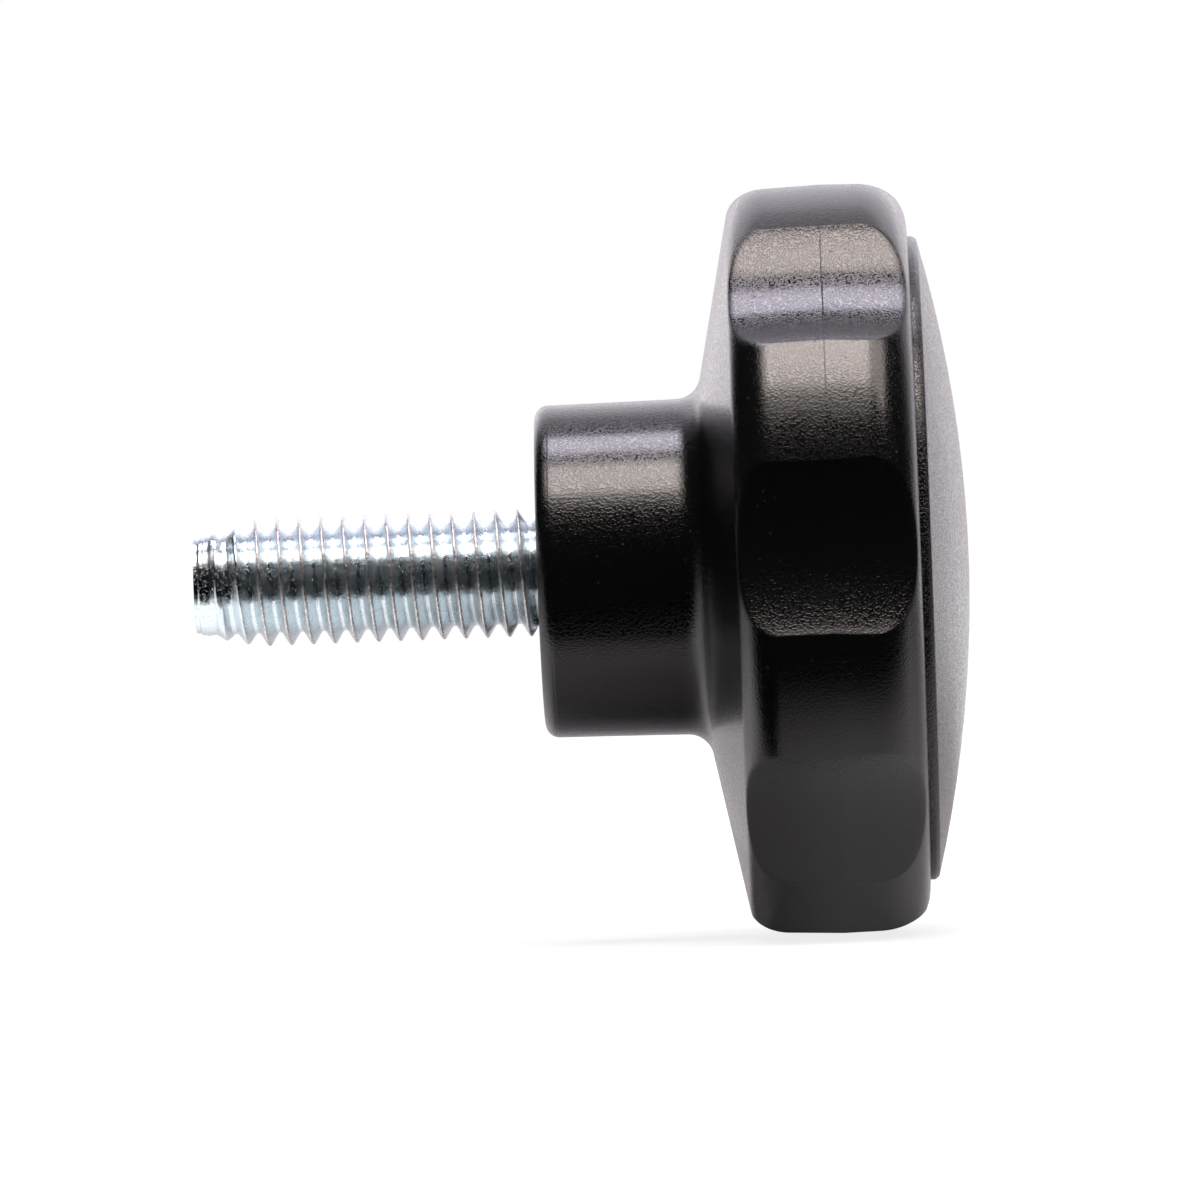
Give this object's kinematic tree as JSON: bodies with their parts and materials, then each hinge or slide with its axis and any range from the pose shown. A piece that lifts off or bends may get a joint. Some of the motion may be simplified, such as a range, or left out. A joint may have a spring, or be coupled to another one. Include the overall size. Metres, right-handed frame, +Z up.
{
  "type": "lobed clamping knob",
  "caption": "Hand-tightened lobed knob with a fixed male threaded stud and a domed cover cap.",
  "frame": {"origin": "centre of the hub's bearing face, where the threaded stud leaves it", "axes": "+X along the knob's axis from the stud's tip towards the domed cap, +Z up"},
  "size_m": [0.0354, 0.0342, 0.0342],
  "materials": {
    "body_plastic": "black glass-filled nylon with a fine spark-eroded grain",
    "cap_plastic": "black moulded plastic, the same fine grain as the body",
    "zinc_steel": "bright blue-passivated zinc plating on a rolled thread"
  },
  "bodies": {
    "root": {"knob_body": "body_plastic", "threaded_stud": "zinc_steel", "cover_cap": "cap_plastic"}
  },
  "joints": []
}
